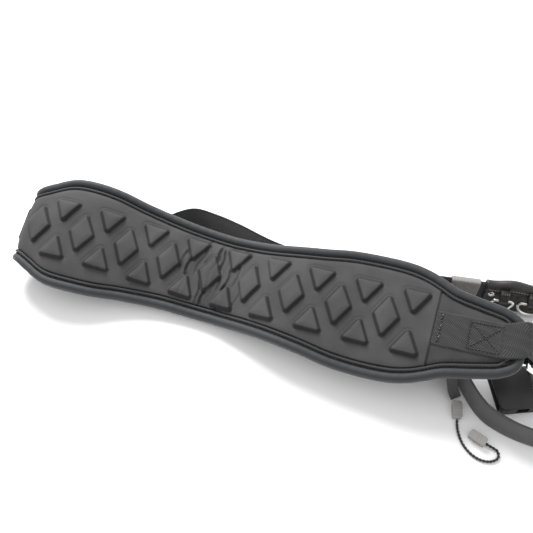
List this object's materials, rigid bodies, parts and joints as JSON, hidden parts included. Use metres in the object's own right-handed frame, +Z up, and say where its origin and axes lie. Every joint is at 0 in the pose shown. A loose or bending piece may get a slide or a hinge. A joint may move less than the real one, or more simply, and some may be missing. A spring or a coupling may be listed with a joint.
{
  "type": "tool belt",
  "caption": "Padded carpenter's tool belt lying open: contoured moulded pad with rolled edge, webbing tabs, steel loops, waist strap, leather hanger with rings and a side-release buckle.",
  "frame": {"origin": "under the middle of the belt's box, on the surface it lies on", "axes": "+X along the pad towards the hardware end, +Y to the back of the belt as it lies, +Z up"},
  "size_m": [0.7482, 0.2341, 0.0901],
  "materials": {
    "face_fabric": "warm dark grey moulded face fabric, matte",
    "foam": "closed-cell foam",
    "lining": "black spacer mesh lining",
    "binding": "blue-grey rolled neoprene-backed fabric with a sewn groove",
    "webbing": "black polyester webbing, ribbed weave",
    "elastic": "grey ribbed elastic",
    "leather": "black leather, light stitching",
    "steel": "nickel plated",
    "black_plastic": "moulded acetal, fine grain",
    "grey_plastic": "moulded soft plastic",
    "cord": "black twisted cord"
  },
  "bodies": {
    "root": {"front_panel": "face_fabric", "foam_core": "foam", "back_panel": "lining", "edge_binding": "binding", "tab_right": "webbing", "tab_left": "webbing", "loop_right": "steel", "loop_left": "steel", "waist_strap": "webbing", "leather_hanger": "leather", "hanger_rivet_1": "steel", "hanger_rivet_2": "steel", "hammer_ring_chape": "leather", "tool_ring_chape": "leather", "buckle_male": "black_plastic", "buckle_female": "black_plastic", "buckle_strap": "webbing", "cord_stub": "webbing", "short_cord": "cord", "cord_end_a": "grey_plastic", "cord_end_b": "grey_plastic"},
    "keeper": {"elastic_keeper": "elastic"},
    "hammer_ring": {"hammer_ring": "steel"},
    "tool_ring": {"tool_ring": "steel"},
    "slider": {"strap_slider": "black_plastic"},
    "upper_prong": {"prong_upper": "black_plastic"},
    "lower_prong": {"prong_lower": "black_plastic"}
  },
  "joints": [
    {"name": "keeper_slide", "type": "slide", "parent": "root", "child": "keeper", "axis": [0.9877, 0.1564, 0], "range_m": [-0.03, 0.005]},
    {"name": "slider_slide", "type": "slide", "parent": "root", "child": "slider", "axis": [0.9877, 0.1564, 0], "range_m": [0, 0.005]},
    {"name": "hammer_ring_swing", "type": "hinge", "parent": "root", "child": "hammer_ring", "pos_m": [0.20441, 0.05734, 0.02691], "axis": [-0.9877, -0.1564, 0], "range_deg": [0, 85]},
    {"name": "tool_ring_swing", "type": "hinge", "parent": "root", "child": "tool_ring", "pos_m": [0.23799, 0.06266, 0.02691], "axis": [-0.9877, -0.1564, 0], "range_deg": [0, 85]},
    {"name": "upper_prong_flex", "type": "hinge", "parent": "root", "child": "upper_prong", "pos_m": [0.33772, 0.09141, 0.04241], "axis": [-0.1564, 0.9877, 0], "range_deg": [0, 7], "stiffness_Nm_per_rad": 0.6},
    {"name": "lower_prong_flex", "type": "hinge", "parent": "root", "child": "lower_prong", "pos_m": [0.33772, 0.09141, 0.00741], "axis": [0.1564, -0.9877, 0], "range_deg": [0, 7], "stiffness_Nm_per_rad": 0.6}
  ]
}
